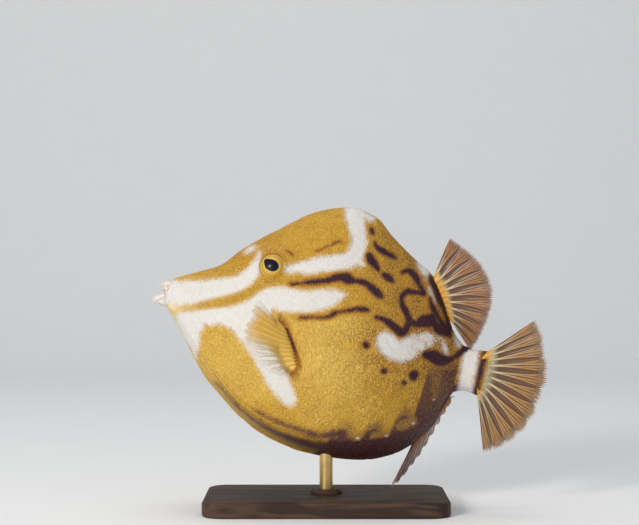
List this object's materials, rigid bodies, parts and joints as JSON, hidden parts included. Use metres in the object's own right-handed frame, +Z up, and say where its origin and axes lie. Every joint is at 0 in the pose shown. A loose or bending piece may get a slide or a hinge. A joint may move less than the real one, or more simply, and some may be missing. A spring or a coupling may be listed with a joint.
{
  "type": "boxfish display model",
  "caption": "Life-size plated boxfish with fanned fins, raised eyes and parted lips, held by a short rod on a flat base.",
  "frame": {"origin": "middle of the flat underside of the stand's base, where it rests on the ground", "axes": "-Z out of the base's underside, so +Z is up; +X from the fish's snout towards its tail, the longest side; +Y to the fish's right, the shortest side, so its left flank faces -Y"},
  "size_m": [0.1495, 0.0744, 0.1122],
  "materials": {
    "skin": "satin, fine grained, golden with white bars and dark scribbles",
    "fins": "satin, half clear between the rays",
    "eyes": "polished",
    "stand_wood": "satin lacquer",
    "stand_metal": "brushed"
  },
  "bodies": {
    "root": {"head": "skin", "lower_jaw": "skin", "torso": "skin", "tail_stalk": "skin", "dorsal_fin": "fins", "anal_fin": "fins", "caudal_fin": "fins", "pectoral_fin_left": "fins", "pectoral_fin_right": "fins", "eye_left": "eyes", "eye_right": "eyes", "stand_base": "stand_wood", "stand_rod": "stand_metal"}
  },
  "joints": []
}
